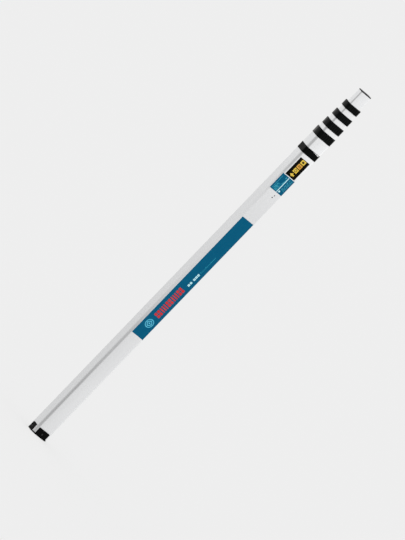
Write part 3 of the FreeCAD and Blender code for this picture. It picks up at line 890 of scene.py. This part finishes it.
def makeRedBlocks():  # graduation blocks: four squares and stacks of bars in turn
    pitch = (blocks["top"] - blocks["bottom"] + blocks["gap"]) / blocks["count"]
    tall = pitch - blocks["gap"]
    left, right = blocks["left"], blocks["right"]
    rectangles = []
    for n in range(blocks["count"]):
        low = blocks["bottom"] + n * pitch
        if n % 2:
            bar = tall / 5
            rectangles += [(left, low + m * bar, right, low + (m + 1) * bar) for m in (0, 2, 4)]
        else:
            wide, high = (right - left - blocks["split"]) / 2, (tall - blocks["split"]) / 2
            for x in (left, right - wide):
                rectangles += [(x, at, x + wide, at + high) for at in (low, low + tall - high)]
    finishPrint(plates("redBlocks", rectangles, labelFace), redInk)


markLook = {
    "squares": (0.5470, 0.5550, 0.5675, 0.5750, 0.5825),
    "squareSides": (0.0048, 0.0114),
    "squareTall": 0.0060,
    "squareBorder": 0.0024,
    "bars": 15,
    "barStart": 0.5935,
    "barPitch": 0.0038,
    "barThick": 0.0016,
    "barSides": (0.0062, 0.0106),
    "barShort": 0.0018,  # how much shorter all but every fifth bar is
}


def makeSmallMarks():  # white squares in two groups and, further up, faint bars
    left, right = markLook["squareSides"]
    squares = []
    for at in markLook["squares"]:
        squares += frameShape(left, at, right, at + markLook["squareTall"], markLook["squareBorder"])
    finishPrint(plates("whiteMarks", squares, labelFace), whiteInk)
    left, right = markLook["barSides"]
    bars = []
    for n in range(markLook["bars"]):
        at = markLook["barStart"] + n * markLook["barPitch"]
        short = markLook["barShort"] if n % 5 else 0
        bars.append((left + short, at, right, at + markLook["barThick"]))
    finishPrint(plates("faintBars", bars, labelFace), faintInk)


makeEmblem()
makeRedBlocks()
makeSmallMarks()
infoLow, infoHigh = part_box("info_label")
infoFace = infoLow.y
infoLook = {
    "ruleSides": (0.0006, 0.0031),
    "ruleMargin": 0.0015,
    "dot": (0.0078, 0.0062, 0.0028),  # across, up from the label's bottom, and radius
    "small": (-0.0048, 0.0060, 0.0021, 0.0012),  # across, down from its top, outside and inside radius
    "longLines": ((-0.0190, -0.0183, 0.0035, 0.0065), (0.0165, 0.0174, 0.0110, 0.0020)),  # sides, margins
    "rows": ((0.017, 0.004), (0.020, 0.0035), (0.012, 0.003), (0.0155, 0.003)),  # length and start
    "rowLeft": -0.0150,
    "rowPitch": 0.0034,
    "dash": (0.0019, 0.0013),
    "dashPitch": 0.0024,
    "columns": ((0.0085, 0.0016, 0.0024, 14, 4), (0.0122, 0.0012, 0.0026, 11, 5)),  # the last leaves gaps
    "columnStart": 0.0130,
    "columnThick": 0.0016,
    "stairs": 6,
    "stairSides": (-0.0040, 0.0004),
    "stairStart": 0.0250,  # down from the label's top
    "stairPitch": 0.0028,
    "stairNarrowing": 0.0005,
    "stairThick": 0.0012,
    "shade": (-0.0165, -0.0012, 0.0022, 0.0240),  # two sides, and its ends up from the label's bottom
    "shadeThick": 0.00002,
}


def infoDashes(low):  # rows and columns of fine marks, with gaps in them
    wide, thick = infoLook["dash"]
    marks = []
    for row, (reach, start) in enumerate(infoLook["rows"]):
        x = infoLook["rowLeft"] + row * infoLook["rowPitch"]
        for n in range(int(reach / infoLook["dashPitch"])):
            if (n * 7 + row * 3) % 5:
                at = low + start + n * infoLook["dashPitch"]
                marks.append((x, at, x + wide, at + thick))
    for x, wide, step, count, skip in infoLook["columns"]:
        for n in range(count):
            if n % skip != skip - 1:
                at = low + infoLook["columnStart"] + n * step
                marks.append((x, at, x + wide, at + infoLook["columnThick"]))
    return marks


def makeInfoPrint():  # a rule with a dot, a small drawing of steps, and lines of fine marks
    low, high = infoLow.z, infoHigh.z
    left, right = infoLook["ruleSides"]
    margin = infoLook["ruleMargin"]
    rule = plates("rule", [(left, low + margin, right, high - margin)], infoFace)
    x, up, radius = infoLook["dot"]
    dot = disc("dot", x, low + up, radius, infoFace)
    finishPrint(join("infoRule", [rule, dot]), whiteInk)
    fine = [(left, low + foot, right, high - head) for left, right, foot, head in infoLook["longLines"]]
    fine += infoDashes(low)
    left, right = infoLook["stairSides"]
    for n in range(infoLook["stairs"]):
        at = high - infoLook["stairStart"] + n * infoLook["stairPitch"]
        fine.append((left + n * infoLook["stairNarrowing"], at, right, at + infoLook["stairThick"]))
    lines = plates("lines", fine, infoFace)
    x, down, out, inner = infoLook["small"]
    small = ring("small", x, high - down, out, inner, infoFace)
    finishPrint(join("infoLines", [lines, small]), cyanInk)
    left, right, foot, head = infoLook["shade"]
    area, thick = (left, low + foot, right, low + head), infoLook["shadeThick"]
    finishPrint(plates("infoShade", [area], infoFace, thick=thick), tealInk)


makeInfoPrint()
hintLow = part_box("hint_label")[0]
hintFace = hintLow.y
hintLook = {
    "left": -0.0078,
    "right": 0.0076,
    "starts": (0.9475, 0.9615, 0.9755),
    "tall": 0.0118,
    "arrowRise": 0.0085,  # above the label's bottom
    "arrowHead": 0.0062,
    "arrowStem": 0.0022,  # half its width
    "ring": (0.0042, 0.0027),
    "barLeft": 0.0035,
    "barWide": 0.0018,
    "barMargin": 0.0028,
    "square": 0.0036,  # half its width
    "squareMargin": 0.0034,
    "signThick": 0.00002,
}


def makeArrow(left, right):
    deselectAll()
    z, head, stem = hintLow.z + hintLook["arrowRise"], hintLook["arrowHead"], hintLook["arrowStem"]
    bpy.ops.mesh.primitive_cylinder_add(
        vertices=3,
        radius=head,
        depth=printLook["thick"] + printLook["float"],
        location=(left + head, hintFace - (printLook["thick"] - printLook["float"]) / 2, z),
        rotation=(math.radians(90), math.radians(-90), 0),
    )
    arrow = settle(bpy.context.active_object, "arrow")
    return [arrow, plates("stem", [(left + 1.5 * head, z - stem, right, z + stem)], hintFace)]


def makeHintPrint():  # an arrow and three tiles, each with a plain sign in it: a ring, bars and a square
    left, right, tall = hintLook["left"], hintLook["right"], hintLook["tall"]
    middle = (left + right) / 2
    first, second, third = hintLook["starts"]
    outer = [(left, first, right, first + tall), (left, third, right, third + tall)]
    yellow = join("yellowTiles", makeArrow(left, right) + [plates("tiles", outer, hintFace)])
    finishPrint(yellow, yellowInk)
    amber = plates("amberTile", [(left, second, right, second + tall)], hintFace)
    finishPrint(amber, amberInk)
    signFace, thick = hintFace - printLook["thick"], hintLook["signThick"]
    wide, margin = hintLook["barWide"], hintLook["barMargin"]
    starts = [left + hintLook["barLeft"] + n * 2 * wide for n in range(3)]
    bars = [(x, second + margin, x + wide, second + tall - margin) for x in starts]
    half, margin = hintLook["square"], hintLook["squareMargin"]
    square = (middle - half, third + margin, middle + half, third + tall - margin)
    signs = [
        ring("sign", middle, first + tall / 2, *hintLook["ring"], signFace, thick=thick),
        plates("signBars", bars, signFace, thick=thick),
        plates("signSquare", [square], signFace, thick=thick),
    ]
    finishPrint(join("hintSigns", signs), blackInk)


makeHintPrint()


tubeMarks = [(0.0035, 0.8600, 0.0068, 0.8632), (0.0055, 0.8672, 0.0085, 0.8700)]  # left, bottom, right, top


def makeTubeMarks():
    face = tubeBoxes[1][0].y
    finishPrint(plates("tubeMarks", tubeMarks, face), blackInk)


makeTubeMarks()
print("front printing made")


scaleLook = {
    "halfWidth": 0.0135,
    "bar": 0.01,
    "group": 0.05,
    "spine": 0.0045,
    "barReach": 0.0125,
    "enamel": 0.00002,
    "ink": 0.00004,
    "middleGap": 0.0002,
    "thinnest": 0.0003,  # of a bar that a span's end cuts
    "digitHeight": 0.0135,
    "digitRise": 0.75,  # above its bar, as a share of its height
    "digitSize": 1.4,  # size of the letters' body for that height
    "digitMargin": 0.001,
    "holeMargin": 0.0075,
    "bandMargin": 0.0006,
    "footMargin": 0.0024,
    "endMargin": 0.0005,
    "shortest": 0.004,
}


# The lengths of section k's back that carry the scale, clear of its collar, holes and band.
def scaleSpans(k):
    margin = scaleLook["holeMargin"]
    if k == 1:
        start = footLook["tabTop"] + scaleLook["footMargin"]
    else:
        start = middleOf(f"button_{k}").z + margin
    if k < sections:
        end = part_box(f"section_{k}_collar")[0].z
    else:
        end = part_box("top_cap_rivets")[0].z - scaleLook["endMargin"]
    spans = [(start, end - scaleLook["endMargin"])]
    holes = []
    if k < sections:
        at = middleOf(f"button_{k + 1}").z + rod["travel"]
        if k == 1:
            low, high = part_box("lock_band")
            holes.append((low.z - scaleLook["bandMargin"], high.z + scaleLook["bandMargin"]))
        elif at + margin < end:
            holes.append((at - margin, at + margin))
        elif at - margin < end:
            spans = [(start, at - margin)]
    for bottom, top in holes:
        first = spans.pop()
        spans += [(first[0], bottom), (top, first[1])]
    return [(a, b) for a, b in spans if b - a > scaleLook["shortest"]]


def makeDigit(text, x, z, tall, surface):
    deselectAll()
    bpy.ops.object.text_add(
        location=(x, surface + scaleLook["ink"], z), rotation=(math.radians(90), 0, math.radians(180))
    )
    digit = bpy.context.active_object
    digit.data.body = text
    digit.data.size = tall * scaleLook["digitSize"]
    digit.data.align_x = "CENTER"
    digit.data.align_y = "CENTER"
    digit.data.resolution_u = 4
    bpy.ops.object.convert(target="MESH")
    return settle(bpy.context.active_object, "digit")


# White enamel with ten-millimetre bars in groups of five and a number at every tenth of a metre.
def makeScale(k):
    surface = tubeBoxes[k][1].y
    half = scaleLook["halfWidth"]
    shift = (k - 1) * rod["travel"]
    spans = scaleSpans(k)
    whites = [(-half, a, half, b) for a, b in spans]
    enamel = plates(f"section{k}Enamel", whites, surface, 1, scaleLook["enamel"])
    finishPiece(enamel, whiteEnamel, f"section_{k}", "white_enamel")
    bars, digits = {"black": [], "red": []}, {"black": [], "red": []}
    bar, reach = scaleLook["bar"], scaleLook["barReach"]
    spine = reach - scaleLook["spine"]
    tall, gap, margin = scaleLook["digitHeight"], scaleLook["middleGap"], scaleLook["digitMargin"]
    for a, b in spans:
        first = math.floor((a + shift) / scaleLook["group"])
        last = math.ceil((b + shift) / scaleLook["group"])
        for n in range(first, last):
            bottom = n * scaleLook["group"] - shift
            ink = "red" if math.floor(n / 20) % 2 else "black"
            right = n % 2 == 0
            shapes = [(0, p * bar, reach, (p + 1) * bar) for p in (0, 2, 4)]
            shapes += [(spine, p * bar, reach, (p + 1) * bar) for p in (1, 3)]
            for x0, z0, x1, z1 in shapes:
                low, high = max(a, bottom + z0), min(b, bottom + z1)
                if high - low < scaleLook["thinnest"]:
                    continue
                if right:
                    bars[ink].append((x0 + gap, low, x1, high))
                else:
                    bars[ink].append((-x1, low, -x0 - gap, high))
            if right:
                value = n // 2
                text = str(value % 10) if value % 10 else str(value // 10)
                at = bottom + tall * scaleLook["digitRise"]
                if a + margin < at - tall / 2 and at + tall / 2 < b - margin:
                    digit = makeDigit(text, -half / 2, at, tall, surface)
                    digits["red" if value % 10 == 0 else ink].append(digit)
    for ink, material in (("black", blackInk), ("red", redInk)):
        parts = list(digits[ink])
        if bars[ink]:
            parts.append(plates("bars", bars[ink], surface, 1, scaleLook["ink"]))
        if parts:
            name = f"section{k}Scale{ink.capitalize()}"
            finishPrint(join(name, parts), material, f"section_{k}")


for k in range(1, sections + 1):
    makeScale(k)
bpy.data.objects.remove(rivetHead)
print("scales made")


studio = {
    "floorSize": 3000,
    "floorLevel": 0.857,
    "floorGlow": 0.75,  # share of the floor's own light, so that shadows stay faint
    "sky": (1.0, 1.0, 1.0),
    "reflectorRadius": 0.4,
    "reflectorReach": (-0.4, 5.4),
}
shot = {
    "azimuth": -37.38,
    "elevation": 6.09,
    "distance": 30.0,
    "aim": (0, 0, 0.61),
    "roll": 43.91,
    "lens": 781.0,
    "offset": (0.0050, -0.0160),
}


def makeFloor():
    deselectAll()
    bpy.ops.mesh.primitive_plane_add(size=studio["floorSize"])
    floor = bpy.context.active_object
    floor.name = "floor"
    material, _, shader = newMaterial("floor")
    level, glow = studio["floorLevel"], studio["floorGlow"]
    shader.inputs["Base Color"].default_value = (*[level * (1 - glow)] * 3, 1)
    shader.inputs["Roughness"].default_value = 1.0
    shader.inputs["Specular IOR Level"].default_value = 0.0
    shader.inputs["Emission Color"].default_value = (1, 1, 1, 1)
    shader.inputs["Emission Strength"].default_value = level * glow
    floor.data.materials.append(material)
    floor.visible_glossy = False


def makeSky():
    world = bpy.data.worlds.new("studio")
    world.use_nodes = True
    background = world.node_tree.nodes["Background"]
    background.inputs["Color"].default_value = (*studio["sky"], 1)
    background.inputs["Strength"].default_value = 1.0
    bpy.context.scene.world = world


reflector = {
    "span": (-0.04, 1.21),  # heights that the stops below run over
    "strength": 1.25,
    "front": [
        (0, 0.745), (0.25, 0.745), (0.46, 0.69), (0.66, 0.664), (0.79, 0.71), (0.83, 0.905), (1, 0.85)
    ],
    "side": [(0, 0.604), (0.4, 0.608), (0.8, 0.65), (0.84, 0.68), (1, 0.70)],
    "corner": [(0, 0.36), (0.25, 0.42), (0.46, 0.575), (0.66, 0.65), (0.8, 0.65), (0.84, 0.4), (1, 0.38)],
    "cornerWidth": (0.15, 0.88),  # cosine of the angle off the camera's direction
    "sideWidth": (-0.4, 0.4),
}


# A soft screen all around that only reflections see: darker toward the camera and near the floor.
def makeReflector():
    deselectAll()
    low, high = studio["reflectorReach"]
    bpy.ops.mesh.primitive_cylinder_add(
        vertices=96,
        radius=studio["reflectorRadius"],
        depth=high - low,
        end_fill_type="NOTHING",
        location=(0, 0, (low + high) / 2),
    )
    screen = settle(bpy.context.active_object, "reflector")
    material = bpy.data.materials.new("reflector")
    material.use_nodes = True
    tree = material.node_tree
    tree.nodes.remove(tree.nodes["Principled BSDF"])
    place = tree.nodes.new("ShaderNodeTexCoord").outputs["Object"]
    split = tree.nodes.new("ShaderNodeSeparateXYZ")
    tree.links.new(place, split.inputs["Vector"])
    turn = math.radians(shot["azimuth"])
    towards = (math.sin(turn), -math.cos(turn))
    radius = studio["reflectorRadius"]
    angles = []  # cosines off the camera's direction and off its side
    for x, y in (towards, (-towards[1], towards[0])):
        alongX = maths(tree, "MULTIPLY", split.outputs["X"], x / radius)
        alongY = maths(tree, "MULTIPLY", split.outputs["Y"], y / radius)
        angles.append(maths(tree, "ADD", alongX, alongY))
    facing, sideways = angles
    dark = spread(tree, facing, 0, 1, *reflector["cornerWidth"])
    rise = spread(tree, split.outputs["Z"], 0, 1, *reflector["span"])
    levels = {}
    for name in ("front", "side", "corner"):
        levels[name] = ramp(tree, rise, [(at, (level,) * 3) for at, level in reflector[name]])
    fromSide = spread(tree, sideways, 0, 1, *reflector["sideWidth"])
    around = mixColour(tree, fromSide, levels["side"], levels["front"])
    mixed = mixColour(tree, dark, around, levels["corner"])
    light = tree.nodes.new("ShaderNodeEmission")
    light.inputs["Strength"].default_value = reflector["strength"]
    tree.links.new(mixed, light.inputs["Color"])
    tree.links.new(light.outputs["Emission"], tree.nodes["Material Output"].inputs["Surface"])
    screen.data.materials.append(material)
    screen.visible_camera = screen.visible_diffuse = screen.visible_shadow = False
    screen.visible_transmission = screen.visible_volume_scatter = False


def makeCamera():
    turn, tilt = math.radians(shot["azimuth"]), math.radians(shot["elevation"])
    back = Vector((math.sin(turn) * math.cos(tilt), -math.cos(turn) * math.cos(tilt), math.sin(tilt)))
    across = Vector((math.cos(turn), math.sin(turn), 0))
    up = back.cross(across)
    roll = math.radians(shot["roll"])
    right = across * math.cos(roll) + up * math.sin(roll)
    top = up * math.cos(roll) - across * math.sin(roll)
    aim = Vector(shot["aim"]) + right * shot["offset"][0] + top * shot["offset"][1]
    deselectAll()
    bpy.ops.object.camera_add(location=aim + back * shot["distance"])
    camera = bpy.context.active_object
    camera.rotation_euler = Matrix((right, top, back)).transposed().to_euler()
    camera.data.lens = shot["lens"]
    camera.data.sensor_width = 36
    camera.data.clip_end = 2000
    bpy.context.scene.camera = camera


makeFloor()
makeSky()
makeReflector()
makeCamera()
bpy.context.scene.view_settings.view_transform = "Standard"
print("stage made")
